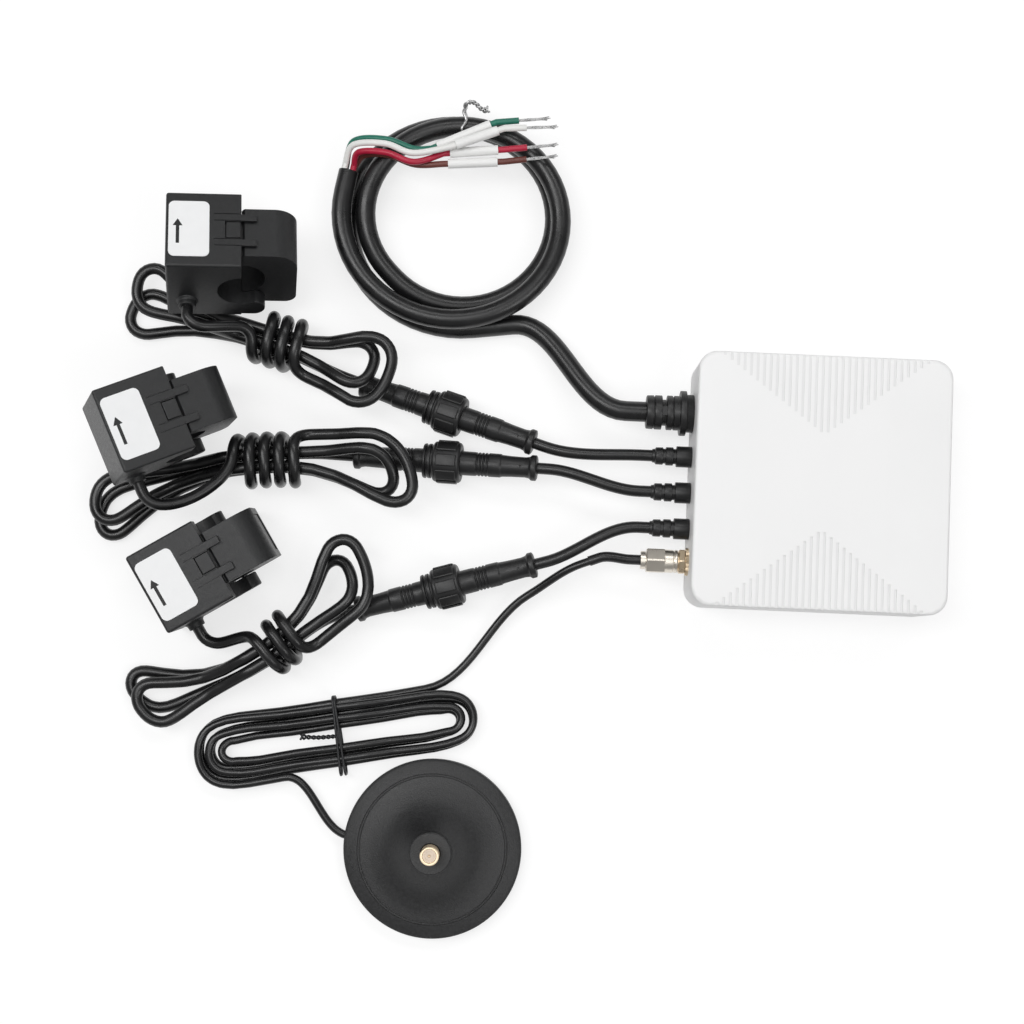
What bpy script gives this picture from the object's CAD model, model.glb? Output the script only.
"""Looks of the smart energy monitor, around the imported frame. Shapes and routes are in millimetres."""
import math
import bmesh
import bpy
import numpy as np
from mathutils import Matrix, Vector


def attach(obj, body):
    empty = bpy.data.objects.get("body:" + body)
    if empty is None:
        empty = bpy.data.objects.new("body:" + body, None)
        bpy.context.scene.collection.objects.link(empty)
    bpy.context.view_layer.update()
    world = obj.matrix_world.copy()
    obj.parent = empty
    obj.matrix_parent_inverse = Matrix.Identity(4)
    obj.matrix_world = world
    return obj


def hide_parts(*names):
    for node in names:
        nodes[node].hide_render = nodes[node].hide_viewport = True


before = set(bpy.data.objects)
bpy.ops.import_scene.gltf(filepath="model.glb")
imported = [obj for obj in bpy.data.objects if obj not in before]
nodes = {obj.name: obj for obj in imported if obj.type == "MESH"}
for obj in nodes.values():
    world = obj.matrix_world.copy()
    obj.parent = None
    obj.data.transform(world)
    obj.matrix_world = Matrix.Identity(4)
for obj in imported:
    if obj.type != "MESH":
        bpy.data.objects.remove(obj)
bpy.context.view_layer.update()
scene = bpy.context.scene
MM = 0.001
ROOT = "monitor"
EACH = (1, 2, 3)

# Camera, at the photograph's viewing angle
CAMERA_AT = Vector((-101.66, -61.55, 668.2)) * MM
CAMERA_TILT, CAMERA_ROLL = math.radians(4.2), math.radians(2.5)
SENSOR_W, FOCAL_PX, PHOTO_PX = 36, 1918, 1024
CLIP_NEAR, CLIP_FAR = 0.01, 50
camera = bpy.data.objects.new("camera", bpy.data.cameras.new("camera"))
camera.data.sensor_width = SENSOR_W
camera.data.lens = SENSOR_W * FOCAL_PX / PHOTO_PX
camera.matrix_world = (Matrix.Translation(CAMERA_AT) @ Matrix.Rotation(CAMERA_ROLL, 4, "Z")
                       @ Matrix.Rotation(CAMERA_TILT, 4, "X"))
camera.data.clip_start, camera.data.clip_end = CLIP_NEAR, CLIP_FAR
scene.collection.objects.link(camera)
scene.camera = camera
scene.view_settings.view_transform = "Standard"


# Routes of the cords, as in the part's source, with the green core a little further out
def vec(*v):
    return np.array(v, float)


def unit(v):
    return v / np.linalg.norm(v)


def ease(t):
    """Smooth step from 0 to 1."""
    t = min(max(t, 0), 1)
    return t * t * (3 - 2 * t)


def turn(angles):
    """Rotation about X, then Y, then Z, in degrees."""
    x, y, z = (Matrix.Rotation(math.radians(a), 3, k) for a, k in zip(angles, "XYZ"))
    return np.array(z @ y @ x)


def link(p, u, q, v, steps):
    """Smooth stretch from p to q that leaves along u and arrives along v, without its ends."""
    s = np.linalg.norm(q - p)
    out = []
    for i in range(1, steps):
        t = i / steps
        a = 1 - t
        out.append(a * a * (1 + 2 * t) * p + t * t * (3 - 2 * t) * q + a * a * t * s * u - t * t * a * s * v)
    return out


def through(p, steps):
    """Smooth curve through points."""
    out = []
    for i in range(len(p) - 1):
        a, b, c, d = p[max(i - 1, 0)], p[i], p[i + 1], p[min(i + 2, len(p) - 1)]
        for k in range(steps):
            t = k / steps
            out.append(b + 0.5 * t * (c - a + t * (2 * a - 5 * b + 4 * c - d + t * (3 * (b - c) + d - a))))
    return out + [p[-1]]


def run(p, u, q, v, d, steps):
    """Free stretch between two ends, straight for one diameter at each."""
    return [p, p + d * u] + link(p + d * u, u, q - d * v, v, steps) + [q - d * v, q]


WALL_X, PORT_Z, SMA_Y, MAINS_Y = -43, 13, -28, 23
LEAD_D, COAX_D, MAINS_D, WIRE_D, SLEEVE_D = 4, 2.8, 7, 2.2, 3.3
TURN_GAP, HALF_L, PAIR_Z, PAIR_SLOPE = 0.45, 32, 8.0, -6
NIPPLE = (-18.2, -17, 9)
CLAMP_AT = [vec(-201.2, 63.6, 9.5), vec(-224.2, 12.4, 11.4), vec(-203.6, -33, 1.3)]
CLAMP_TURN = [turn(a) for a in ((-21, 8, 3), (4, 18, 26), (4, 0, 32))]
PAIR_AT = [vec(-127.5, 20.2, PAIR_Z), vec(-127.5, 3.2, PAIR_Z), vec(-125.5, -40, PAIR_Z)]
PAIR_TURN = [turn((0, PAIR_SLOPE, a)) for a in (-17.3, -2, 16.4)]
MAINS_GLAND_L, GLAND_L, GLAND_Y = 16.3, 13.6, (8, -4.4, -16.8)
OUT = vec(-1, 0, 0)

# Tied leads and the coax's hank: place and turn, half length, widths of the lobes and the waist, the loops
# and how they climb and swing out, the rise over the table, and where the wraps sit
TIED = dict(d=LEAD_D, far=25, near=25, power=4, waist=2.3, loops=2, step=0, swing=6.3, climb=0.25, gap=1.1,
            rise=6, rise_l=16, lobe_rise=4.5, trim=0.85)
BUNDLES = [
    dict(TIED, at=(-196.2, 45.6), turn=-15, half=44, near=26, waist_x=8, bow=-1, fan=11, start=-72, way=-1,
         wraps=(18, 13, 8, 3, -4), wrap_start=150),
    dict(TIED, at=(-196, -12), turn=9.5, half=52, waist_x=8, bow=12, fan=6, start=72, way=1, rise_l=18,
         wraps=(20, 15, 10, 5, 0, -9), wrap_start=30),
    dict(TIED, at=(-195, -58.5), turn=34, half=43, waist_x=6, bow=-11, fan=-7, start=-72, way=-1,
         lobe_rise=1.5, wraps=(16, 11, 6, -3), wrap_start=150, trim=0.71),
    dict(at=(-160, -92.5), turn=10.6, half=49.5, d=COAX_D, far=27, near=25, power=3, waist=11.5, waist_x=0,
         bow=0, fan=0, start=68, way=1, loops=4.5, step=3.8, swing=0, climb=0.5, gap=TURN_GAP, rise=1,
         rise_l=12, lobe_rise=0)]
HANK = BUNDLES[3]
TIP_CROWD, SIDE_HOLD, SWING_FROM, SWING_OVER, CLIMB_FROM = 14, 1.8, 0.38, 0.16, 0.32
LIFT_HOLD, LOBE_FROM, LOBE_OVER = 1.6, 0.55, 0.3
WRAP_LOOSE, WRAP_SQUARE = 0.4, 0.65
LOOP_RINGS, WRAP_RINGS, LINK_STEPS, EXIT_STEPS, AIM_STEP = 48, 24, 12, 16, 0.001


def lift(b, x):
    """Rise of a bundle over the table, by the distance along it."""
    held = 1 if b["swing"] and x > b["waist_x"] else ease(LIFT_HOLD - abs(x - b["waist_x"]) / b["rise_l"])
    return b["rise"] * held + b["lobe_rise"] * ease((x / b["half"] - LOBE_FROM) / LOBE_OVER)


def lobe(b, c):
    """Half width of a bundle's loops."""
    return b["waist"] + ((b["far"] if c < 0 else b["near"]) - b["waist"]) * abs(c) ** b["power"]


def on_bundle(b, p):
    return turn((0, 0, b["turn"])) @ p + vec(*b["at"], 0)


def loop_at(b, t):
    """A point of a tied lead's loops: t counts the loops."""
    g = math.radians(b["start"] + b["way"] * 360 * t)
    a = g - math.radians(TIP_CROWD) * math.sin(2 * g)
    c, n = math.cos(a), math.sin(a)
    out = b["swing"] * ease((t - b["loops"] + SWING_FROM) / SWING_OVER) - b["step"] * min(t, b["loops"] - t)
    upper = ease((t - b["loops"] / 2 + CLIMB_FROM) / b["climb"])
    x = (b["half"] + out) * c
    y = (n * lobe(b, c) + np.sign(n) * out * min(1, SIDE_HOLD * abs(n))
         + (b["fan"] * (upper - 0.5) * c * c if c < 0 else 0) + b["bow"] * (1 - (x / b["half"]) ** 2))
    return on_bundle(b, vec(x, y, b["d"] / 2 + (b["d"] + b["gap"]) * upper + lift(b, x)))


def wrap_at(b, k):
    """A point of the wraps round a tied lead's waist: k counts the wraps."""
    w = b["wraps"]
    i = max(0, min(math.floor(k), len(w) - 2))
    x = w[i] + (w[i + 1] - w[i]) * (k - i)
    c = x / b["half"]
    pitch = b["d"] + b["gap"]
    a = math.radians(b["wrap_start"] + b["way"] * 360 * k)
    y = (b["bow"] * (1 - c * c) + (math.sqrt(1 - c * c) * lobe(b, c) + pitch + WRAP_LOOSE)
         * np.sign(math.cos(a)) * abs(math.cos(a)) ** WRAP_SQUARE)
    z = (b["d"] / 2 + pitch / 2 + lift(b, x) + (1.5 * pitch + WRAP_LOOSE)
         * np.sign(math.sin(a)) * abs(math.sin(a)) ** WRAP_SQUARE)
    return on_bundle(b, vec(x, y, z))


def aim(route, *at):
    """Direction of a route at a place on it."""
    *which, t = at
    return unit(route(*which, t + AIM_STEP) - route(*which, t - AIM_STEP))


def hank_path(b):
    n = round(b["loops"] * LOOP_RINGS)
    return [loop_at(b, b["loops"] * i / n) for i in range(n + 1)]


def lead_path(i):
    """A tied lead: from its connector round the loops and wraps to its clamp."""
    b = BUNDLES[i]
    out = PAIR_TURN[i] @ OUT
    start = PAIR_AT[i] + HALF_L * out
    near = start + LEAD_D * out
    end = CLAMP_AT[i] + CLAMP_TURN[i] @ vec(*NIPPLE)
    back = CLAMP_TURN[i] @ vec(0, -1, 0)
    last = end + LEAD_D * back
    loops, turns = b["loops"], len(b["wraps"]) - 1 - b["trim"]
    steps = round(turns * WRAP_RINGS)
    return ([start, near] + link(near, out, loop_at(b, 0), aim(loop_at, b, 0), LINK_STEPS) + hank_path(b)
            + link(loop_at(b, loops), aim(loop_at, b, loops), wrap_at(b, 0), aim(wrap_at, b, 0), LINK_STEPS)
            + [wrap_at(b, turns * k / steps) for k in range(steps + 1)]
            + link(wrap_at(b, turns), aim(wrap_at, b, turns), last, -back, EXIT_STEPS) + [last, end])


COIL_AT, COIL_R, COIL_START, COIL_TURNS = vec(-127.3, 88.5, 0), 40.5, -80, 2.31
COIL_LOOSE, COIL_FLAT, COIL_CLIMB, COIL_RINGS = 0.8, 0.94, 0.5, 60
COIL_STEP = MAINS_D + TURN_GAP + COIL_LOOSE


def coil_point(t):
    """A point of the mains lead's coil: t counts the turns."""
    a = math.radians(COIL_START - 360 * t)
    r = COIL_R - COIL_STEP * min(t, COIL_TURNS - t)
    z = MAINS_D / 2 + (MAINS_D + TURN_GAP) * ease((t - COIL_TURNS / 2 + COIL_CLIMB / 2) / COIL_CLIMB)
    return COIL_AT + vec(r * math.cos(a), COIL_FLAT * r * math.sin(a), z)


COIL_AIM = aim(coil_point, COIL_TURNS)
COIL_END = coil_point(COIL_TURNS) + MAINS_D * COIL_AIM


def coil_path():
    n = round(COIL_TURNS * COIL_RINGS)
    return ([coil_point(0) - MAINS_D * aim(coil_point, 0)]
            + [coil_point(COIL_TURNS * i / n) for i in range(n + 1)] + [COIL_END])


MAINS_EXIT = vec(WALL_X - MAINS_GLAND_L, MAINS_Y, PORT_Z)
PLUG_END = vec(-59.2, SMA_Y, PORT_Z)
COAX_EXIT, COAX_AIM = PLUG_END + vec(-17.5, -1.2, 0), unit(vec(-0.93, -0.36, -0.1))
COAX_VIA, COAX_VIA_AIM = vec(-97, -41.5, 6.6), unit(vec(-0.82, -0.53, -0.2))
ANTENNA_AT, ANTENNA_R, ENTRY = vec(-126, -129.5, 0), 30.5, math.radians(174)
ENTRY_AIM = vec(-math.cos(ENTRY), -math.sin(ENTRY), 0)
ANTENNA_ENTRY = ANTENNA_AT - (ANTENNA_R - 4) * ENTRY_AIM + vec(0, 0, 3.4)
COAX_SLEEVE_D, SLEEVE_STEPS, COAX_STEPS, TAIL_STEPS = 3.5, 12, 14, 18


def coax_sleeve_path():
    return run(PLUG_END, OUT, COAX_EXIT, COAX_AIM, COAX_SLEEVE_D, SLEEVE_STEPS)


def coax_path():
    """The coax: from its plug through the sleeve and round the hank to the antenna base."""
    n = HANK["loops"]
    first_aim, last_aim = aim(loop_at, HANK, 0), aim(loop_at, HANK, n)
    first, last = loop_at(HANK, 0) - COAX_D * first_aim, loop_at(HANK, n) + COAX_D * last_aim
    near = COAX_EXIT + COAX_D * COAX_AIM
    before = first - COAX_D * first_aim
    lead = ([near] + link(near, COAX_AIM, COAX_VIA, COAX_VIA_AIM, COAX_STEPS)
            + [COAX_VIA] + link(COAX_VIA, COAX_VIA_AIM, before, first_aim, COAX_STEPS) + [before, first])
    tail = run(last, last_aim, ANTENNA_ENTRY, ENTRY_AIM, COAX_D, TAIL_STEPS)
    return coax_sleeve_path() + lead + hank_path(HANK) + tail


CORE_SET, CORE_SPREAD = ((-1, -1), (-1, 1), (1, 1), (1, -1)), WIRE_D / 2 + 0.4
WIRE_RUNS = [[(-164.2, 113, 13.9), (-152.8, 113.2, 17.4), (-143.2, 110.3, 17.4)],
             [(-164, 110.9, 16.7), (-152.8, 110.9, 20.2), (-143, 108, 20.4)],
             [(-162, 108.4, 16.8), (-152.4, 107.9, 20), (-142.6, 105, 20)],
             [(-160.4, 108.3, 13), (-152, 107.8, 17.2), (-142.4, 104.8, 17.2)]]
SLEEVE_FROM = [vec(-135, 111.2, 18.4), vec(-128.5, 111.2, 21.4), vec(-130.5, 109.2, 17.8),
               vec(-131, 105.4, 17.8)]
SLEEVE_TO = [vec(-117, 119.6, 18.4), vec(-114.3, 117, 20.8), vec(-114, 111, 17.8), vec(-114, 106.8, 17.8)]
CORE_TO = [vec(-95.6, 123, 17.8), vec(-95.2, 119.4, 19.6), vec(-94, 113.8, 17.4), vec(-94, 109.8, 17.4)]
SHEATH_L, TIP_L, WIRE_STEPS, MARKER_STEPS = 10, 11, 8, 6


def wire_end(i):
    """Where a core's sheath ends, and the way it points there."""
    near = SLEEVE_TO[i] + WIRE_D * unit(SLEEVE_TO[i] - SLEEVE_FROM[i])
    out = unit(CORE_TO[i] - near)
    return near + (SHEATH_L - WIRE_D) * out, out


def wire_path(i):
    """A core: from the end of the mains lead through its marker sleeve to the end of its sheath."""
    side = np.cross(COIL_AIM, vec(0, 0, 1))
    start = COIL_END + CORE_SPREAD * (CORE_SET[i][0] * side + vec(0, 0, CORE_SET[i][1]))
    a, b = SLEEVE_FROM[i], SLEEVE_TO[i]
    u = unit(b - a)
    knots = [start + WIRE_D * COIL_AIM] + [vec(*p) for p in WIRE_RUNS[i]] + [a - WIRE_D * u]
    return ([start] + through(knots, WIRE_STEPS)
            + [a + (b - a) * k / MARKER_STEPS for k in range(MARKER_STEPS + 1)]
            + [b + WIRE_D * u, wire_end(i)[0]])


EASE_STEP, EASE_BEND, EASE_ROUNDS, EASE_SHARE, EASE_HELD = 0.4, 1.5, 150, 0.4, 2


def eased(path, d):
    """The path in even steps, with its tightest bends opened: step and bend in diameters."""
    p = np.array(path)
    s = np.concatenate([[0], np.cumsum(np.linalg.norm(np.diff(p, axis=0), axis=1))])
    count = round(s[-1] / (EASE_STEP * d))
    step = s[-1] / count
    p = np.stack([np.interp(np.linspace(0, s[-1], count + 1), s, p[:, k]) for k in range(3)], axis=1)
    for _ in range(EASE_ROUNDS):
        inward = (p[:-2] + p[2:]) / 2 - p[1:-1]
        tight = np.linalg.norm(inward, axis=1) > step ** 2 / (2 * EASE_BEND * d)
        tight[:EASE_HELD] = tight[-EASE_HELD:] = False
        p[1:-1] += EASE_SHARE * inward * tight[:, None]
    return list(p)


# Materials
NOISE_SPAN, ROUGH_SPAN, BUMP_DEPTH, LEVEL = (0.3, 0.7), 0.06, 0.0002, 0.98
BROAD_DETAIL, FINE_DETAIL = 4, 2


def make_material(name, color, rough, metallic=0.0, grain=(4000, 0.1), shade=(60, 0.1), sunk=None):
    """Procedural finish: mottled colour, uneven roughness and a fine grain, by place on the object."""
    m = bpy.data.materials.new(name)
    m.use_nodes = True
    tree = m.node_tree
    bsdf = tree.nodes["Principled BSDF"]
    new, join = tree.nodes.new, tree.links.new
    place = new("ShaderNodeTexCoord")

    def noise(scale, detail):
        node = new("ShaderNodeTexNoise")
        node.inputs["Scale"].default_value, node.inputs["Detail"].default_value = scale, detail
        join(place.outputs["Object"], node.inputs["Vector"])
        return node.outputs["Fac"]

    def spread(source, low, high):
        node = new("ShaderNodeMapRange")
        for key, value in zip(("From Min", "From Max", "To Min", "To Max"), (*NOISE_SPAN, low, high)):
            node.inputs[key].default_value = value
        join(source, node.inputs["Value"])
        return node.outputs["Result"]

    broad = noise(shade[0], BROAD_DETAIL)
    mix = new("ShaderNodeMix")
    mix.data_type = "RGBA"
    mix.inputs["A"].default_value = (*[c * (1 - shade[1]) for c in color], 1)
    mix.inputs["B"].default_value = (*[min(1, c * (1 + shade[1])) for c in color], 1)
    join(spread(broad, 0.0, 1.0), mix.inputs["Factor"])
    join(mix.outputs["Result"], bsdf.inputs["Base Color"])
    if sunk:
        # Level faces below a height are a shade darker
        height, tint = sunk
        split, tilt = new("ShaderNodeSeparateXYZ"), new("ShaderNodeSeparateXYZ")
        facing = new("ShaderNodeNewGeometry")
        low, level, both = new("ShaderNodeMath"), new("ShaderNodeMath"), new("ShaderNodeMath")
        darker = new("ShaderNodeMix")
        join(place.outputs["Object"], split.inputs[0])
        join(facing.outputs["True Normal"], tilt.inputs[0])
        low.operation, level.operation, both.operation = "LESS_THAN", "GREATER_THAN", "MULTIPLY"
        low.inputs[1].default_value, level.inputs[1].default_value = height, LEVEL
        join(split.outputs["Z"], low.inputs[0])
        join(tilt.outputs["Z"], level.inputs[0])
        join(low.outputs[0], both.inputs[0])
        join(level.outputs[0], both.inputs[1])
        darker.data_type, darker.blend_type = "RGBA", "MULTIPLY"
        darker.inputs["B"].default_value = (tint, tint, tint, 1)
        join(both.outputs[0], darker.inputs["Factor"])
        join(mix.outputs["Result"], darker.inputs["A"])
        join(darker.outputs["Result"], bsdf.inputs["Base Color"])
    join(spread(broad, rough - ROUGH_SPAN, rough + ROUGH_SPAN), bsdf.inputs["Roughness"])
    bump = new("ShaderNodeBump")
    bump.inputs["Strength"].default_value, bump.inputs["Distance"].default_value = grain[1], BUMP_DEPTH
    join(noise(grain[0], FINE_DETAIL), bump.inputs["Height"])
    join(bump.outputs["Normal"], bsdf.inputs["Normal"])
    bsdf.inputs["Metallic"].default_value = metallic
    m.diffuse_color = (*color, 1)
    return m


FINISHES = {
    # name: colour, roughness, record slot, other settings
    "white_case": ((0.87, 0.87, 0.87), 0.5, "white_plastic",
                   dict(grain=(5000, 0.1), shade=(30, 0.012), sunk=(0.0277, 0.91))),
    "black_plastic": ((0.0108, 0.0112, 0.012), 0.45, "black_plastic",
                      dict(grain=(4200, 0.3), shade=(900, 0.22))),
    "soft_black": ((0.009, 0.009, 0.0095), 0.4, "black_plastic", dict(grain=(3500, 0.12), shade=(150, 0.2))),
    "grey_grained": ((0.0195, 0.0197, 0.0205), 0.46, "grey_plastic",
                     dict(grain=(2600, 0.6), shade=(900, 0.25))),
    "cord": ((0.0075, 0.0075, 0.008), 0.3, "cord", dict(grain=(1800, 0.06), shade=(200, 0.25))),
    "coax": ((0.008, 0.008, 0.0085), 0.26, "cord", dict(grain=(1800, 0.05), shade=(200, 0.25))),
    "gold": ((0.8, 0.65, 0.46), 0.26, "nickel", dict(metallic=1.0, grain=(6000, 0.03), shade=(90, 0.05))),
    "nickel": ((0.74, 0.69, 0.61), 0.3, "nickel", dict(metallic=1.0, grain=(6000, 0.03), shade=(90, 0.05))),
    "steel": ((0.56, 0.57, 0.58), 0.35, "steel", dict(metallic=1.0, grain=(1500, 0.06), shade=(300, 0.08))),
    "tinned": ((0.6, 0.6, 0.6), 0.3, "steel", dict(metallic=1.0, grain=(4000, 0.15), shade=(900, 0.12))),
    "insert": ((0.72, 0.6, 0.48), 0.5, "sleeve", dict(grain=(3000, 0.06), shade=(300, 0.05))),
    "label": ((0.84, 0.845, 0.85), 0.55, "label", dict(grain=(7000, 0.06), shade=(200, 0.015))),
    "ink": ((0.012, 0.012, 0.013), 0.6, "label", dict(grain=(7000, 0.05), shade=(900, 0.2))),
    "wire_green": ((0.006, 0.15, 0.1), 0.38, "wire", dict(grain=(2500, 0.06), shade=(150, 0.12))),
    "wire_white": ((0.78, 0.78, 0.76), 0.45, "wire", dict(grain=(2500, 0.06), shade=(150, 0.03))),
    "wire_red": ((0.42, 0.01, 0.04), 0.38, "wire", dict(grain=(2500, 0.06), shade=(150, 0.12))),
    "wire_brown": ((0.13, 0.035, 0.026), 0.38, "wire", dict(grain=(2500, 0.06), shade=(150, 0.12))),
    "marker": ((0.82, 0.82, 0.81), 0.5, "sleeve", dict(grain=(3000, 0.06), shade=(150, 0.03))),
    "silver_tie": ((0.5, 0.5, 0.5), 0.3, "tie", dict(metallic=0.9, grain=(1800, 0.1), shade=(600, 0.15))),
    "dark_tie": ((0.012, 0.0125, 0.014), 0.45, "tie", dict(grain=(1800, 0.1), shade=(600, 0.2))),
    "board": ((0.012, 0.11, 0.05), 0.4, "board", dict(grain=(2500, 0.1), shade=(300, 0.2))),
    "core": ((0.1, 0.1, 0.105), 0.5, "core", dict(metallic=0.7, grain=(900, 0.3), shade=(300, 0.2))),
    "copper": ((0.45, 0.17, 0.06), 0.35, "copper", dict(metallic=1.0, grain=(1200, 0.2), shade=(500, 0.2))),
    "rubber": ((0.014, 0.014, 0.0145), 0.7, "rubber", dict(grain=(2000, 0.2), shade=(200, 0.15))),
    "seal": ((0.25, 0.26, 0.27), 0.65, "rubber", dict(grain=(2000, 0.2), shade=(200, 0.1))),
}
MAT = {name: make_material(name, color, rough, **more) for name, (color, rough, _, more) in FINISHES.items()}


# Shapes: vertices in millimetres and faces, then meshes
SAME_POINT, ON_AXIS, UPRIGHT, CORNER_SHARE, BEVEL_FROM = 1e-4, 1e-6, 0.9, 0.48, math.radians(30)
FINE_R, FINE_STEPS = 0.2, 2


def sweep(path, d, sides=16):
    """Round tube along a path."""
    p = np.array(path)
    step = np.linalg.norm(np.diff(p, axis=0), axis=1)
    p = p[np.concatenate([[True], step > SAME_POINT])]
    seg = np.diff(p, axis=0)
    seg /= np.linalg.norm(seg, axis=1)[:, None]
    t = np.vstack([seg[:1], seg[:-1] + seg[1:], seg[-1:]])
    t /= np.linalg.norm(t, axis=1)[:, None]
    n = unit(np.cross(t[0], vec(0, 0, 1) if abs(t[0][2]) < UPRIGHT else vec(1, 0, 0)))
    angles = np.linspace(0, 2 * math.pi, sides, endpoint=False)
    verts, faces = [], []
    for i in range(len(p)):
        n = unit(n - (n @ t[i]) * t[i])
        m = np.cross(t[i], n)
        verts += [p[i] + d / 2 * (math.cos(a) * n + math.sin(a) * m) for a in angles]
    for i in range(len(p) - 1):
        for k in range(sides):
            a, b = i * sides + k, i * sides + (k + 1) % sides
            faces.append((a, b, b + sides, a + sides))
    last = (len(p) - 1) * sides
    return verts, faces + [tuple(range(sides - 1, -1, -1)), tuple(range(last, last + sides))]


def lathe(profile, sides=64):
    """Body of revolution about Z from (radius, height) points, closed on the axis or into a ring."""
    verts, rings = [], []
    for r, z in profile:
        count = sides if r > ON_AXIS else 1
        rings.append(list(range(len(verts), len(verts) + count)))
        angles = [2 * math.pi * k / sides for k in range(count)]
        verts += [vec(r * math.cos(a), r * math.sin(a), z) for a in angles]
    if profile[0][0] > ON_AXIS:
        rings.append(rings[0])
    faces = []
    for a, b in zip(rings, rings[1:]):
        for k in range(sides):
            n = (k + 1) % sides
            corners = list(dict.fromkeys([a[k % len(a)], a[n % len(a)], b[n % len(b)], b[k % len(b)]]))
            if len(corners) > 2:
                faces.append(tuple(corners))
    return verts, faces


def cylinder(r, low, high, sides):
    return lathe([(0, low), (r, low), (r, high), (0, high)], sides)


def extrude(outline, width):
    """Plate with an outline in X and Z, and its width along Y."""
    n = len(outline)
    verts = [vec(x, y, z) for y in (-width / 2, width / 2) for x, z in outline]
    faces = [tuple(range(n)), tuple(range(2 * n - 1, n - 1, -1))]
    return verts, faces + [(k, k + n, (k + 1) % n + n, (k + 1) % n) for k in range(n)]


def block(low, high):
    (x0, y0, z0), (x1, y1, z1) = low, high
    verts, faces = extrude([(x0, z0), (x1, z0), (x1, z1), (x0, z1)], y1 - y0)
    return [v + vec(0, (y0 + y1) / 2, 0) for v in verts], faces


def arc(x, z, r, a, b, steps=10):
    """Points of an arc, from a to b degrees."""
    angles = [math.radians(a + (b - a) * k / steps) for k in range(steps + 1)]
    return [(x + r * math.cos(g), z + r * math.sin(g)) for g in angles]


def soften(profile, r, steps=3):
    """Rounds the corners of an open profile."""
    p = [vec(*q) for q in profile]
    out = [p[0]]
    for a, b, c in zip(p, p[1:], p[2:]):
        back, on = a - b, c - b
        reach = min(r, CORNER_SHARE * np.linalg.norm(back), CORNER_SHARE * np.linalg.norm(on))
        start, end = b + reach * unit(back), b + reach * unit(on)
        out += [(1 - t) ** 2 * start + 2 * t * (1 - t) * b + t * t * end
                for t in np.linspace(0, 1, steps + 1)]
    return [tuple(q) for q in out + [p[-1]]]


def moved(shape, matrix):
    verts, faces = shape
    return [np.array(matrix @ Vector(v)) for v in verts], faces


def joined(shapes):
    verts, faces = [], []
    for v, f in shapes:
        faces += [tuple(k + len(verts) for k in corners) for corners in f]
        verts += list(v)
    return verts, faces


def every_edge(x, y, z):
    return True


def to_mesh(shape, bevels=()):
    """Mesh of a shape, with its sharp edges rounded: (radius, steps, which edges by their middle)."""
    bm = bmesh.new()
    verts = [bm.verts.new(v) for v in shape[0]]
    for corners in shape[1]:
        bm.faces.new([verts[k] for k in corners])
    bmesh.ops.recalc_face_normals(bm, faces=bm.faces)
    for radius, steps, chosen in bevels:
        edges = [e for e in bm.edges if e.calc_face_angle(0) > BEVEL_FROM
                 and chosen(*((e.verts[0].co + e.verts[1].co) / 2))]
        bmesh.ops.bevel(bm, geom=edges, offset=radius, segments=steps, profile=0.5, affect="EDGES",
                        clamp_overlap=True)
    mesh = bpy.data.meshes.new("shape")
    bm.to_mesh(mesh)
    bm.free()
    return mesh


def carve(base, added=(), cut=()):
    """The mesh with shapes added to it and then others cut from it."""
    work = bpy.data.objects.new("work", base)
    scene.collection.objects.link(work)
    tools = []
    for operation, shapes in (("UNION", added), ("DIFFERENCE", cut)):
        for shape in shapes:
            mesh = shape if isinstance(shape, bpy.types.Mesh) else to_mesh(shape)
            tool = bpy.data.objects.new("tool", mesh)
            scene.collection.objects.link(tool)
            tools.append(tool)
            step = work.modifiers.new("carve", "BOOLEAN")
            step.operation, step.solver, step.object = operation, "EXACT", tool
    result = bpy.data.meshes.new_from_object(work.evaluated_get(bpy.context.evaluated_depsgraph_get()))
    for o in [work] + tools:
        bpy.data.objects.remove(o)
    return result


def piece(name, mesh, finish, body=ROOT, pose=Matrix(), replaced=(), angle=40, even=False):
    """A finished piece from a mesh in millimetres."""
    mesh = mesh.copy()
    mesh.name = name
    mesh.transform(Matrix.Scale(MM, 4) @ pose)
    mesh.polygons.foreach_set("use_smooth", [True] * len(mesh.polygons))
    mesh.set_sharp_from_angle(angle=math.radians(angle))
    mesh.materials.clear()
    mesh.materials.append(MAT[finish])
    obj = bpy.data.objects.new(name, mesh)
    scene.collection.objects.link(obj)
    if even:
        obj.modifiers.new("even_normals", "WEIGHTED_NORMAL").keep_sharp = True
    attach(obj, body)
    if replaced:
        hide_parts(*replaced)
    return obj


def tube(name, path, d, finish, sides=16, replaced=()):
    return piece(name, to_mesh(sweep(path, d, sides)), finish, replaced=replaced)


def cord(name, path, d, finish, sides=16,
         replaced=()):
    """A tube along a path that is declared as a cord."""
    obj = tube(name, path, d, finish, sides, replaced=replaced)
    return obj


def pose_of(rotation, at):
    return Matrix.Translation(Vector(at)) @ Matrix(rotation.tolist()).to_4x4()


CLAMP_POSE = [pose_of(r, at) for r, at in zip(CLAMP_TURN, CLAMP_AT)]
PAIR_POSE = [pose_of(r, at) @ Matrix.Rotation(math.pi / 2, 4, "Y") for r, at in zip(PAIR_TURN, PAIR_AT)]


def from_wall(y):
    """Pose of a port's pieces: Z out of the wall."""
    return Matrix.Translation((WALL_X, y, PORT_Z)) @ Matrix.Rotation(-math.pi / 2, 4, "Y")


# Carried-over solids: welded, with smooth round faces and crisp edges
WELD, CRISP_FROM = 1e-6, math.radians(50)


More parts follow.
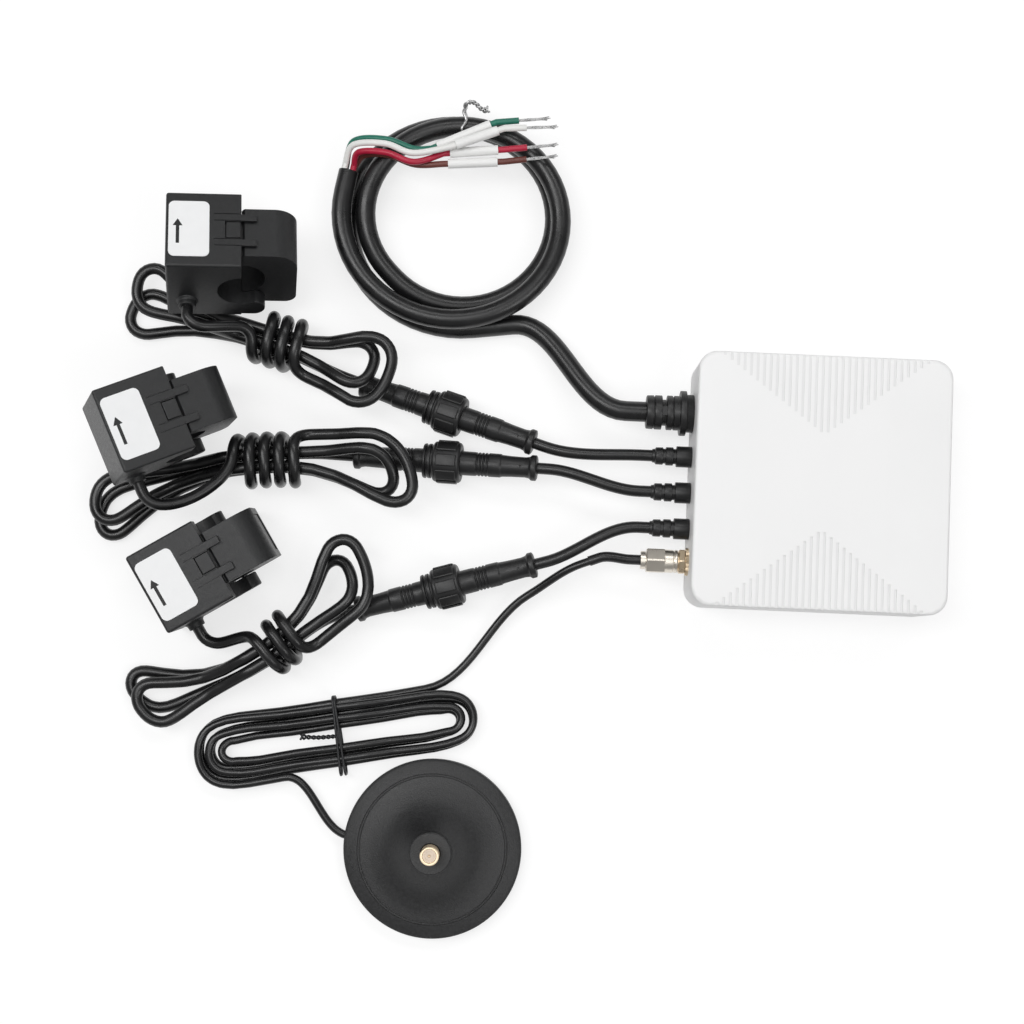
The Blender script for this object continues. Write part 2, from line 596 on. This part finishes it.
def smooth_group():
    group = bpy.data.node_groups.new("smooth_faces", "GeometryNodeTree")
    for way in ("INPUT", "OUTPUT"):
        group.interface.new_socket("Geometry", in_out=way, socket_type="NodeSocketGeometry")
    new, join = group.nodes.new, group.links.new
    start, end, weld = new("NodeGroupInput"), new("NodeGroupOutput"), new("GeometryNodeMergeByDistance")
    faces, edges = new("GeometryNodeSetShadeSmooth"), new("GeometryNodeSetShadeSmooth")
    angle, over = new("GeometryNodeInputMeshEdgeAngle"), new("FunctionNodeCompare")
    weld.inputs["Distance"].default_value = WELD
    over.data_type, over.operation = "FLOAT", "GREATER_THAN"
    over.inputs[1].default_value = CRISP_FROM
    edges.domain = "EDGE"
    faces.inputs["Shade Smooth"].default_value, edges.inputs["Shade Smooth"].default_value = True, False
    join(start.outputs[0], weld.inputs["Geometry"])
    join(weld.outputs["Geometry"], faces.inputs["Geometry"])
    join(faces.outputs["Geometry"], edges.inputs["Geometry"])
    join(angle.outputs["Unsigned Angle"], over.inputs[0])
    join(over.outputs["Result"], edges.inputs["Selection"])
    join(edges.outputs["Geometry"], end.inputs[0])
    return group


SMOOTH = smooth_group()


def paint(names, finish):
    for n in names:
        o = nodes[n]
        o.data.materials.clear()
        o.data.materials.append(MAT[finish])
        o.modifiers.new("smooth_faces", "NODES").node_group = SMOOTH
        o.modifiers.new("even_normals", "WEIGHTED_NORMAL").keep_sharp = True


for finish, names in {
        "white_case": ["enclosure_base", "enclosure_lid"], "seal": ["lid_seal"],
        "steel": ["lid_screws", "hinge_pins", "antenna_magnet"], "board": ["main_board"],
        "soft_black": ["power_module", "radio_module", "board_parts"], "marker": ["lead_headers"],
        "wire_red": ["inner_wires"], "gold": ["sma_jack"], "nickel": ["sma_plug"],
        "core": [f"clamp{n}_jaw_core" for n in EACH] + ["fixed_cores"], "copper": ["windings"],
        "label": ["clamp_labels"], "rubber": ["antenna_foot"]}.items():
    paint(names, finish)

# Clamps: X from the joint, Y along the opening, Z from the underside
CLAMP_W, CLAMP_H, CLAMP_L, EAR_IN, EAR_R, HINGE_X, HINGE_Z = 29, 31, 25, 9.6, 4, 4, 5
JAW_W, JAW_L, JAW_H, JAW_LOW, JAW_TOP_R, JAW_LOW_R, KNUCKLE_R = 18.6, 18.6, 29.5, 1.3, 7.5, 4, 3.7
OPENING_R, OPENING_Z, PIN_R, PIN_HALF, RUN_GAP, JAW_CHAMFER = 8, 15.5, 1.25, 14.2, 0.3, 0.8
CORE_LOW, CORE_HIGH, CORE_T, CORE_HALF = 2.6, 28.4, 3.4, 5.1
BODY_CORE_BACK, JAW_CORE_BACK, CORE_PAST = -16.1, 13.2, 1.1
WINDING_LOW, WINDING_HIGH = (-19.3, -8.3, 6.3), (-9.5, 8.3, 24.7)
FINGER_IN, FINGER_OUT, FINGER_HALF, FINGER_L, FINGER_T, SEAM_W, SEAM_L = 3.6, 6.2, 1.28, 5.1, 1, 0.3, 9
BUTTON_X, BUTTON_L, BUTTON_W, BUTTON_H, POCKET = -5.1, 4.8, 6, 0.8, 1.7
RECESS_IN, RECESS_HALF, RECESS_LOW, RECESS_HIGH = 0.45, 6.9, 7, 22.6
GROOVE_IN, GROOVE_HALF, GROOVE_LOW, GROOVE_HIGH = 0.8, 5.4, 20.4, 21.2
LIP_GAP, LIP_HALF, LIP_ROOT = 0.06, 9, 1.2
BODY_LIPS, JAW_LIPS = ((5.3, 6.25), (23.8, 26.2)), ((6.4, 7.3), (26.4, 28.65))
EDGE_R, EDGE_STEPS, CREASE_R, EAR_EDGE_R, EAR_EDGE_STEPS, BUTTON_EDGE_R = 0.9, 4, 0.25, 0.5, 3, 0.22
BACK_CLEAR, RIM_CLEAR, JAW_EDGE_FROM, EAR_SHY, FINGER_SHY = 0.5, 0.3, 0.6, 0.06, 0.02
SUNK_IN, EAR_IN_BODY, CUT_PAST, PAST, ARROW_X, ARROW_UP, ARROW_T = 1, 2, 1, 20, -21, 0.22, 0.06
TO_XY = Matrix.Rotation(-math.pi / 2, 4, "X")


def rod(x, z, r, y0, y1, sides=32):
    """Round bar along Y."""
    verts, faces = cylinder(r, y0, y1, sides)
    return [vec(v[0] + x, v[2], v[1] + z) for v in verts], faces


def core_space(front, back):
    """Room for a U core whose legs run from the joint to its back."""
    low, high = min(front, back), max(front, back)
    inner = back + CORE_T * (1 if back < 0 else -1)
    legs = [block((low, -CORE_HALF, z), (high, CORE_HALF, z + CORE_T))
            for z in (CORE_LOW, CORE_HIGH - CORE_T)]
    return legs + [block((min(back, inner), -CORE_HALF, CORE_LOW), (max(back, inner), CORE_HALF, CORE_HIGH))]


notch = arc(0, OPENING_Z, OPENING_R, 270, 90, 32)
shell = to_mesh(extrude([(0, 0)] + notch + [(0, CLAMP_H), (-CLAMP_L, CLAMP_H), (-CLAMP_L, 0)], CLAMP_W),
                [(EDGE_R, EDGE_STEPS, lambda x, y, z: x < -OPENING_R - BACK_CLEAR),
                 (CREASE_R, FINE_STEPS, every_edge)])
ear_l = CLAMP_W / 2 - EAR_IN
ear_outline = ([(-EAR_IN_BODY, HINGE_Z - EAR_R)] + arc(HINGE_X, HINGE_Z, EAR_R, -90, 90, 20)
               + [(-EAR_IN_BODY, HINGE_Z + EAR_R)])
fittings = []
for side in (-1, 1):
    ear = to_mesh(extrude(ear_outline, ear_l - EAR_SHY),
                  [(EAR_EDGE_R, EAR_EDGE_STEPS, lambda x, y, z: x > 0)])
    ear.transform(Matrix.Translation((0, side * (EAR_IN + CLAMP_W / 2) / 2, 0)))
    finger = to_mesh(block((-SUNK_IN, -FINGER_HALF, CLAMP_H - FINGER_T),
                           (FINGER_L, FINGER_HALF, CLAMP_H - FINGER_SHY)),
                     [(CREASE_R, FINE_STEPS, lambda x, y, z: x > 0)])
    finger.transform(Matrix.Translation((0, side * (FINGER_IN + FINGER_OUT) / 2, 0)))
    fittings += [ear, finger]
# Lips in the joint, the jaw's above the body's, so that no light shows through it
fittings += [block((-SUNK_IN, -LIP_HALF, low), (RUN_GAP - LIP_GAP, LIP_HALF, high))
             for low, high in BODY_LIPS]
jaw_lips = [block((LIP_GAP, -LIP_HALF, low), (LIP_ROOT, LIP_HALF, high)) for low, high in JAW_LIPS]
nipple = lathe(soften([(0, 13), (3.9, 13), (3.8, 14.6), (3, 15.2), (2.9, 17), (0, 17)], 0.5), 40)
fittings.append(([vec(v[0] + NIPPLE[0], -v[2], v[1] + NIPPLE[2]) for v in nipple[0]], nipple[1]))
seams = [block((-SEAM_L, side * y - SEAM_W / 2, CLAMP_H - SEAM_W),
               (CUT_PAST, side * y + SEAM_W / 2, CLAMP_H + CUT_PAST))
         for side in (-1, 1) for y in (FINGER_IN, FINGER_OUT)]
half_pocket = BUTTON_W / 2 + RUN_GAP
body_mesh = carve(shell, fittings, core_space(CORE_PAST, BODY_CORE_BACK) + [
    block(WINDING_LOW, WINDING_HIGH),
    rod(0, OPENING_Z, OPENING_R, -PAST, PAST, 64), rod(HINGE_X, HINGE_Z, PIN_R, -PIN_HALF, PIN_HALF),
    block((BUTTON_X - RUN_GAP, -half_pocket, CLAMP_H - POCKET),
          (CUT_PAST, half_pocket, CLAMP_H + CUT_PAST))] + seams)
rim = math.degrees(math.acos(RUN_GAP / OPENING_R))
jaw_outline = (arc(HINGE_X, HINGE_Z, KNUCKLE_R, 180, 270)
               + arc(JAW_L - JAW_LOW_R, JAW_LOW + JAW_LOW_R, JAW_LOW_R, -90, 0)
               + arc(JAW_L - JAW_TOP_R, JAW_H - JAW_TOP_R, JAW_TOP_R, 0, 90, 16)
               + [(RUN_GAP + JAW_CHAMFER, JAW_H), (RUN_GAP, JAW_H - JAW_CHAMFER)]
               + arc(0, OPENING_Z, OPENING_R, rim, -rim, 32))


def jaw_outside(x, y, z):
    return x > JAW_EDGE_FROM and math.hypot(x, z - OPENING_Z) > OPENING_R + RIM_CLEAR


jaw_mesh = carve(
    to_mesh(extrude(jaw_outline, JAW_W),
            [(EDGE_R, EDGE_STEPS, jaw_outside), (FINE_R, FINE_STEPS, every_edge)]), jaw_lips,
    core_space(-CORE_PAST, JAW_CORE_BACK) + [
        rod(HINGE_X, HINGE_Z, PIN_R, -PAST, PAST),
        # Recess and groove of the jaw's end
        block((JAW_L - RECESS_IN, -RECESS_HALF, RECESS_LOW), (JAW_L + CUT_PAST, RECESS_HALF, RECESS_HIGH)),
        block((JAW_L - GROOVE_IN, -GROOVE_HALF, GROOVE_LOW), (JAW_L + CUT_PAST, GROOVE_HALF, GROOVE_HIGH))])
button_mesh = to_mesh(block((BUTTON_X, -BUTTON_W / 2, CLAMP_H - BUTTON_H),
                            (BUTTON_X + BUTTON_L, BUTTON_W / 2, CLAMP_H)),
                      [(BUTTON_EDGE_R, FINE_STEPS, every_edge)])
ARROW = [(-0.55, -5.8), (0.55, -5.8), (0.55, 1.1), (1.6, 1.1), (0, 3.8), (-1.6, 1.1), (-0.55, 1.1)]
arrow_pose = Matrix.Translation((ARROW_X, 0, CLAMP_H + ARROW_UP)) @ TO_XY
arrow_mesh = to_mesh(moved(extrude(ARROW, ARROW_T), arrow_pose))
for n, pose in zip(EACH, CLAMP_POSE):
    piece(f"clamp{n}_shell", body_mesh, "black_plastic", ROOT, pose, [f"clamp{n}_body"], even=True)
    piece(f"clamp{n}_jaw_shell", jaw_mesh, "black_plastic", f"jaw{n}", pose, [f"clamp{n}_jaw"], even=True)
    piece(f"clamp{n}_button", button_mesh, "black_plastic", f"latch{n}", pose, [f"clamp{n}_latch"], even=True)
    piece(f"clamp{n}_arrow", arrow_mesh, "ink", ROOT, pose)

# Connector pairs: radius and distance from the collar's end
RING_AT, RING_PITCH, RING_COUNT, BARREL_R = 16.8, 1.2, 4, 4.12
RING_DEPTH, RING_W, RING_SLOPE = 0.32, 0.6, 0.12
VENT_R, VENT_L, VENT_OUT, VENT_AT = 0.42, 2, 4.6, 5.6
PADS, PAD_LOW, PAD_HIGH, PAD_EDGE_R, PAD_EDGE_STEPS = 8, (6.6, -2.05, -2.7), (7.4, 2.05, 4.4), 0.4, 3
barrel = [(0, 0), (3.7, 0), (4.45, 0.4), (4.45, 2.0), (3.75, 2.7), (3.5, 4.2), (3.6, 9), (3.8, 12.3),
          (4.08, 12.7)]
for k in range(RING_COUNT):
    at = RING_AT + k * RING_PITCH
    barrel += [(BARREL_R, at), (BARREL_R - RING_DEPTH, at + RING_SLOPE),
               (BARREL_R - RING_DEPTH, at + RING_W - RING_SLOPE), (BARREL_R, at + RING_W)]
barrel.append((BARREL_R + 0.05, 22.4))
plug_end = barrel + [(4.2, 28.1), (5.5, 28.1), (5.5, 29.7), (0, 29.7)]
socket_end = barrel + [(4.2, 24.4), (5.9, 24.5), (6.1, 25.4), (5.2, 25.6), (5.2, 26), (5.95, 26.1),
                       (6.05, 27.2), (5.5, 27.3), (5.5, 34.2), (0, 34.2)]


def connector_mesh(profile, way):
    """A connector's half along Z, with a vent in its collar."""
    vent_pose = (Matrix.Translation((-VENT_OUT, 0, way * (VENT_AT - HALF_L)))
                 @ Matrix.Rotation(math.pi / 2, 4, "Y"))
    half = lathe([(r, way * (at - HALF_L)) for r, at in soften(profile, FINE_R, FINE_STEPS)], 56)
    return carve(to_mesh(half), cut=[moved(cylinder(VENT_R, 0, VENT_L, 16), vent_pose)])


plug_mesh, socket_mesh = connector_mesh(plug_end, -1), connector_mesh(socket_end, 1)
nut_ring = lathe(soften([(5.75, -4), (6.5, -4), (6.95, -3.4), (6.95, 5), (6.4, 5.6), (4.45, 5.6), (4.45, 4.2),
                         (5.75, 4.2)], FINE_R, FINE_STEPS), 64)
pad = block(PAD_LOW, PAD_HIGH)
pads = to_mesh(joined([moved(pad, Matrix.Rotation(2 * math.pi * k / PADS, 4, "Z")) for k in range(PADS)]),
               [(PAD_EDGE_R, PAD_EDGE_STEPS, every_edge)])
nut_mesh = carve(to_mesh(nut_ring), [pads])
plugs, sockets, nuts = [], [], []
for n, pose in zip(EACH, PAIR_POSE):
    for kept, kind, mesh, body in ((plugs, "plug", plug_mesh, ROOT), (sockets, "socket", socket_mesh, ROOT),
                                   (nuts, "nut", nut_mesh, f"nut{n}")):
        kept.append(piece(f"clamp{n}_{kind}_skin", mesh, "soft_black", body, pose, [f"clamp{n}_{kind}"]))

# Glands in the port wall: radius and distance from the wall
mains_gland = [(0, -3.8), (5.7, -3.8), (5.7, -2.2), (4.9, -2.2), (4.9, 0), (6.5, 0), (6.5, 2.5), (7.75, 2.6),
               (7.75, 4.7), (5.95, 4.8), (5.95, 6.8), (5.5, 6.9), (5.5, 7.2), (5.95, 7.3), (5.95, 9.2),
               (4.5, 9.3), (4.5, 10.8), (5.9, 10.9), (5.9, 13.3), (5.45, 13.4), (5.45, 13.7), (5.85, 13.8),
               (5.75, 16.1), (5.2, 16.3), (0, 16.3)]
clamp_gland = [(0, -3.8), (3.3, -3.8), (3.3, -2.2), (2.5, -2.2), (2.5, 0), (3.6, 0), (3.6, 5.3), (2.6, 5.4),
               (2.6, 6.3), (3.15, 6.4), (3.15, 8.9), (2.55, 9), (2.55, 9.8), (3, 9.9), (2.95, 12.4),
               (2.4, 12.6), (2.3, 13.6), (0, 13.6)]


def gland_mesh(profile, bridges):
    """Strain relief whose rings are joined by bridges above and below: radius, half width, and reach."""
    bars = [block((min(side * r, side), -w, a), (max(side * r, side), w, b))
            for r, w, a, b in bridges for side in (-1, 1)]
    return carve(to_mesh(lathe(soften(profile, FINE_R, FINE_STEPS), 56)), bars)


large_gland = gland_mesh(mains_gland, [(5.5, 1.5, 8.9, 11.3)])
small_gland = gland_mesh(clamp_gland, [(3, 0.8, 5.1, 6.7), (2.85, 0.8, 8.7, 10.1)])
piece("mains_gland_skin", large_gland, "soft_black", ROOT, from_wall(MAINS_Y), ["mains_gland"])
for n, y in zip(EACH, GLAND_Y):
    piece(f"clamp_gland_{n}", small_gland, "soft_black", ROOT, from_wall(y), ["clamp_glands"])


# Antenna port: distances from the wall
def prism(radii, low, high):
    """Upright prism whose corners lie at the given radii."""
    corners = [(r * math.cos(2 * math.pi * k / len(radii)), r * math.sin(2 * math.pi * k / len(radii)))
               for k, r in enumerate(radii)]
    verts, faces = moved(extrude(corners, high - low), TO_XY)
    return [v + vec(0, 0, (low + high) / 2) for v in verts], faces


FLATS, THREAD_R, WASHER_TEETH, WASHER_R, WASHER_ROOT_R, WASHER_T = 8, 3.22, 18, 4.7, 4.25, 1
JACK_NUT, JACK_BORE, JACK_EDGE_R = (1.15, 3.2), (-1, 5), 0.3
PLUG_HEX, PLUG_EDGE_R, PLUG_EDGE_STEPS, COLLAR_EDGE_R = (7.9, 14.3), 0.45, 3, 0.12
hexagon = [FLATS / math.sqrt(3)] * 6
washer = prism([WASHER_R, WASHER_ROOT_R] * WASHER_TEETH, 0, WASHER_T)
jack_nut = carve(to_mesh(prism(hexagon, *JACK_NUT), [(JACK_EDGE_R, FINE_STEPS, every_edge)]), [washer],
                 [cylinder(THREAD_R, *JACK_BORE, 40)])
piece("sma_jack_nut_skin", jack_nut, "gold", ROOT, from_wall(SMA_Y), ["sma_jack_nut"], even=True)
nut_collar = lathe(soften([(0, 3.5), (3.6, 3.5), (3.95, 3.8), (3.95, 4.6), (3.7, 4.75), (3.7, 5.1),
                           (3.95, 5.25), (3.95, 8.4), (0, 8.4)], COLLAR_EDGE_R, FINE_STEPS), 56)
nut_bore = lathe([(0, 3), (THREAD_R, 3), (THREAD_R, 10.5), (2.35, 10.6), (2.35, 16), (0, 16)], 40)
plug_nut = carve(to_mesh(prism(hexagon, *PLUG_HEX), [(PLUG_EDGE_R, PLUG_EDGE_STEPS, every_edge)]),
                 [nut_collar], [nut_bore])
plug_nut_piece = piece("sma_plug_nut_skin", plug_nut, "nickel", "plug_nut", from_wall(SMA_Y),
                       ["sma_plug_nut"], even=True)

# Antenna base: radius and height
STUD_FROM, STUD_PITCH, STUD_TURNS, CREST_R, ROOT_R, FLANK, ROOT_L = 22.5, 0.75, 9, 3.17, 2.93, 0.2, 0.14
CONE = ((24.65, 7.3), (20.6, 8.15), (16.2, 9.95), (12.4, 12.9), (9.5, 16.5), (7.5, 19.9))
base = ([(0, 1.2), (29.9, 1.2), (30.35, 1.5), (30.5, 2), (30.5, 4.8), (30.35, 5.35), (29.9, 5.75),
         (29.4, 5.95), (26, 7.12), (25.75, 7.18), (25.65, 6.75), (25.45, 6.75), (25.35, 7.22), (25.05, 7.24),
         (24.95, 6.85), (24.75, 6.85)] + [tuple(p) for p in through([vec(*p) for p in CONE], 8)]
        + [(7.25, 20.4), (7.2, 21.3), (7.05, 21.75), (6.7, 22), (3.5, 22), (3.3, 21.7), (3.3, 17.2),
           (0, 17.2)])
thread = []
for k in range(STUD_TURNS):
    z = STUD_FROM + STUD_PITCH * k
    thread += [(CREST_R, z), (ROOT_R, z + FLANK), (ROOT_R, z + FLANK + ROOT_L),
               (CREST_R, z + 2 * FLANK + ROOT_L)]
stud = ([(0, 17), (2.6, 17), (2.6, 22), (CREST_R, 22.1)] + thread
        + [(CREST_R, 29.55), (2.85, 30), (2.45, 30), (2.36, 29.8), (2.36, 29.1), (0, 29.1)])
insert = [(0, 29), (2.3, 29), (2.3, 29.5), (1.5, 29.55), (1.4, 29.4), (0.6, 29.4), (0.55, 29.2), (0, 29.2)]
pin = [(0, 29), (0.36, 29), (0.36, 29.5), (0.2, 29.65), (0, 29.65)]
antenna_pose = Matrix.Translation(Vector(ANTENNA_AT))
piece("antenna_base_skin", to_mesh(lathe(base, 128)), "grey_grained", ROOT, antenna_pose, ["antenna_base"],
      angle=30)
piece("antenna_stud_skin", to_mesh(lathe(stud, 48)), "gold", ROOT, antenna_pose, ["antenna_stud"], angle=30)
piece("antenna_stud_insert", to_mesh(lathe(insert, 40)), "insert", ROOT, antenna_pose)
piece("antenna_stud_pin", to_mesh(lathe(pin, 20)), "gold", ROOT, antenna_pose)


# Ties
TWIST_GAP, OPEN_FROM = 0.05, 0.7


def twisted(path, d, turns, spread):
    """Two strands twisted along a path, with ends that open."""
    p = np.array(through([vec(*q) for q in path], 12))
    along = np.gradient(p, axis=0)
    across = np.cross(along, vec(0, 0, 1))
    across /= np.linalg.norm(across, axis=1)[:, None]
    over = np.cross(across, along)
    over /= np.linalg.norm(over, axis=1)[:, None]
    s = np.linspace(0, 1, len(p))
    r = d / 2 + TWIST_GAP + spread * np.array([ease((t - OPEN_FROM) / (1 - OPEN_FROM)) for t in s])
    strands = []
    for phase in (0, math.pi):
        a = phase + 2 * math.pi * turns * s
        strands.append(sweep(p + (r * np.cos(a))[:, None] * across + (r * np.sin(a))[:, None] * over, d, 10))
    return strands


TWIST_D, COIL_TIE_D, COIL_TIE_TURN = 0.8, 1, 88
coil_tie_path = [vec(*p) for p in ((27.7, 0, 0.8), (27.7, 0.5, 8), (28.1, -0.4, 13.4), (30.1, 0.7, 15.2),
                                   (33.1, -0.6, 15.3), (36.2, 0.6, 15.2), (38.2, -0.3, 13.4), (38.6, 0.4, 8),
                                   (38.6, 0, 0.8))]
coil_tie_tail = [(38.4, 0.4, 13.6), (38.9, -0.4, 15.6), (39.4, -2, 16.6), (38.8, -3.7, 16.6),
                 (37.6, -5, 16.4), (37, -6.6, 16.2), (37.5, -8, 16)]
coil_tie_shape = joined([sweep(through(coil_tie_path, 8), COIL_TIE_D, 12)]
                        + twisted(coil_tie_tail, TWIST_D, 3.5, 0.5))
coil_tie = piece("coil_tie_wire", to_mesh(coil_tie_shape), "silver_tie",
                 pose=pose_of(turn((0, 0, COIL_TIE_TURN)), COIL_AT), replaced=["coil_tie"])
BAND_HALF, BAND_LOW, BAND_HIGH, BAND_D, BAND_R = 13.45, 0.5, 7.6, 0.85, 2.2
TAIL_Z = BAND_HIGH + 0.1


def band(x, lean):
    """Wire once round the hank, leaning along X."""
    side, low, high = BAND_HALF - BAND_R, BAND_LOW + BAND_R, BAND_HIGH - BAND_R
    loop = ([(0, BAND_HIGH)] + arc(side, high, BAND_R, 90, 0, 6) + arc(side, low, BAND_R, 0, -90, 6)
            + arc(-side, low, BAND_R, -90, -180, 6) + arc(-side, high, BAND_R, 180, 90, 6) + [(0, BAND_HIGH)])
    return sweep([vec(x + lean * y / BAND_HALF, y, z) for y, z in loop], BAND_D, 10)


hank_tie_shape = joined([band(-0.55, 0.35), band(0.55, -0.2)] + twisted(
    [(-0.6, 0, TAIL_Z), (-6.6, 0.4, TAIL_Z), (-12.6, 1.5, TAIL_Z)], TWIST_D, 4, 0.4))
hank_tie = piece("hank_tie_wire", to_mesh(hank_tie_shape), "dark_tie",
                 pose=pose_of(turn((0, 0, HANK["turn"])), (*HANK["at"], 0)), replaced=["hank_tie"])

# Cords
FREE_STEPS = 20
coil = coil_path()
mains = run(MAINS_EXIT, OUT, coil[0], aim(coil_point, 0), MAINS_D, FREE_STEPS) + coil[1:]
cord("mains_cord", mains, MAINS_D, "cord", sides=24,
     replaced=["mains_lead", "mains_coil"])
# Strands of a bare wire end: place across it and share of its length
STRAND_D, STRAND_R, STRAND_TURN, STRAND_IN = 0.42, 0.36, 1.2566, 0.5
STRAND_ALONG, STRAND_SPREAD = (0.35, 0.7), (0.7, 1, 0.8, 1.7)
STRANDS = [(STRAND_R * math.cos(k * STRAND_TURN), STRAND_R * math.sin(k * STRAND_TURN), 0.88 + 0.04 * (k % 3))
           for k in range(5)] + [(0, 0, 1)]
for i, shade in enumerate(("green", "white", "red", "brown")):
    end, out = wire_end(i)
    across = unit(np.cross(out, vec(0, 0, 1)))
    over = np.cross(across, out)
    strands = []
    for a, b, reach in STRANDS:
        off = a * across + b * over
        along = [-STRAND_IN] + [share * TIP_L for share in (*STRAND_ALONG, reach)]
        knots = [end + s * out + spread * off for s, spread in zip(along, STRAND_SPREAD)]
        strands.append(sweep(through(knots, 4), STRAND_D, 8))
    tip = piece(f"wire_tip_{shade}", to_mesh(joined(strands)), "tinned")
    marker = tube(f"wire_marker_{shade}", [SLEEVE_FROM[i], SLEEVE_TO[i]], SLEEVE_D, "marker", 20,
                  replaced=["wire_sleeves"])
    cord(f"wire_{shade}", wire_path(i), WIRE_D, f"wire_{shade}", sides=14,
         replaced=["mains_wires"])
for i, n in enumerate(EACH):
    out = PAIR_TURN[i] @ OUT
    pigtail = run(vec(WALL_X - GLAND_L, GLAND_Y[i], PORT_Z), OUT, PAIR_AT[i] - HALF_L * out, out, LEAD_D,
                  FREE_STEPS)
    cord(f"pigtail_{n}", pigtail, LEAD_D, "cord",
         replaced=[f"clamp{n}_pigtail"])
    cord(f"lead_{n}", eased(lead_path(i), LEAD_D), LEAD_D, "cord",
         replaced=[f"clamp{n}_lead"])
sleeve = tube("coax_sleeve_skin", coax_sleeve_path(), COAX_SLEEVE_D, "cord", 18, replaced=["coax_sleeve"])
cord("coax_cord", eased(coax_path(), COAX_D), COAX_D, "coax",
     replaced=["coax_ends", "coax_hank"])

# Stage: a floor that is white to the camera and in reflections, and keeps a soft shadow
FLOOR_HALF, FLOOR_DROP, FLOOR_GLOW, SKY_GLOW = 15, 0.0001, 0.7, 0.3
BOUNCE_GREY, SHADOW_GREY = (0.8, 0.8, 0.8, 1), (0.34, 0.34, 0.34, 1)
floor_mesh = bpy.data.meshes.new("floor")
floor_mesh.from_pydata([(x * FLOOR_HALF, y * FLOOR_HALF, 0)
                        for x, y in ((-1, -1), (1, -1), (1, 1), (-1, 1))], [], [(0, 1, 2, 3)])
floor = bpy.data.objects.new("floor", floor_mesh)
scene.collection.objects.link(floor)
floor.location.z = -FLOOR_DROP
paper = bpy.data.materials.new("floor_paper")
paper.use_nodes = True
tree = paper.node_tree
tree.nodes.clear()
new, join = tree.nodes.new, tree.links.new
rays, seen, also = new("ShaderNodeLightPath"), new("ShaderNodeMath"), new("ShaderNodeMath")
seen.operation = also.operation = "MAXIMUM"
join(rays.outputs["Is Camera Ray"], seen.inputs[0])
join(rays.outputs["Is Glossy Ray"], seen.inputs[1])
join(seen.outputs[0], also.inputs[0])
join(rays.outputs["Is Transmission Ray"], also.inputs[1])
bounce, shadow, glow = new("ShaderNodeBsdfDiffuse"), new("ShaderNodeBsdfDiffuse"), new("ShaderNodeEmission")
bounce.inputs["Color"].default_value = BOUNCE_GREY
shadow.inputs["Color"].default_value = SHADOW_GREY
glow.inputs["Color"].default_value, glow.inputs["Strength"].default_value = (1, 1, 1, 1), FLOOR_GLOW
both, choice = new("ShaderNodeAddShader"), new("ShaderNodeMixShader")
join(shadow.outputs[0], both.inputs[0])
join(glow.outputs[0], both.inputs[1])
join(also.outputs[0], choice.inputs[0])
join(bounce.outputs[0], choice.inputs[1])
join(both.outputs[0], choice.inputs[2])
join(choice.outputs[0], new("ShaderNodeOutputMaterial").inputs["Surface"])
floor_mesh.materials.append(paper)

world = bpy.data.worlds.new("studio")
scene.world = world
world.use_nodes = True
sky = world.node_tree.nodes["Background"]
sky.inputs["Color"].default_value, sky.inputs["Strength"].default_value = (1, 1, 1, 1), SKY_GLOW

# Lamps: place and size in metres, and power in watts
LAMP_TARGET = Vector((-0.1, 0, 0))
for name, at, (width, height), power in (("key", (-0.65, 0.15, 1.15), (0.35, 1.0), 5.5),
                                         ("top", (0.1, 0.75, 1.0), (1.2, 0.3), 3.5),
                                         ("fill", (0.6, -0.5, 1.2), (0.6, 0.6), 3.6),
                                         ("over", (-0.25, -0.1, 1.7), (1.1, 1.1), 4.6)):
    light = bpy.data.lights.new(name, "AREA")
    light.shape, light.size, light.size_y, light.energy = "RECTANGLE", width, height, power
    lamp = bpy.data.objects.new(name, light)
    scene.collection.objects.link(lamp)
    lamp.location = at
    lamp.rotation_euler = (LAMP_TARGET - Vector(at)).to_track_quat("-Z", "Y").to_euler()
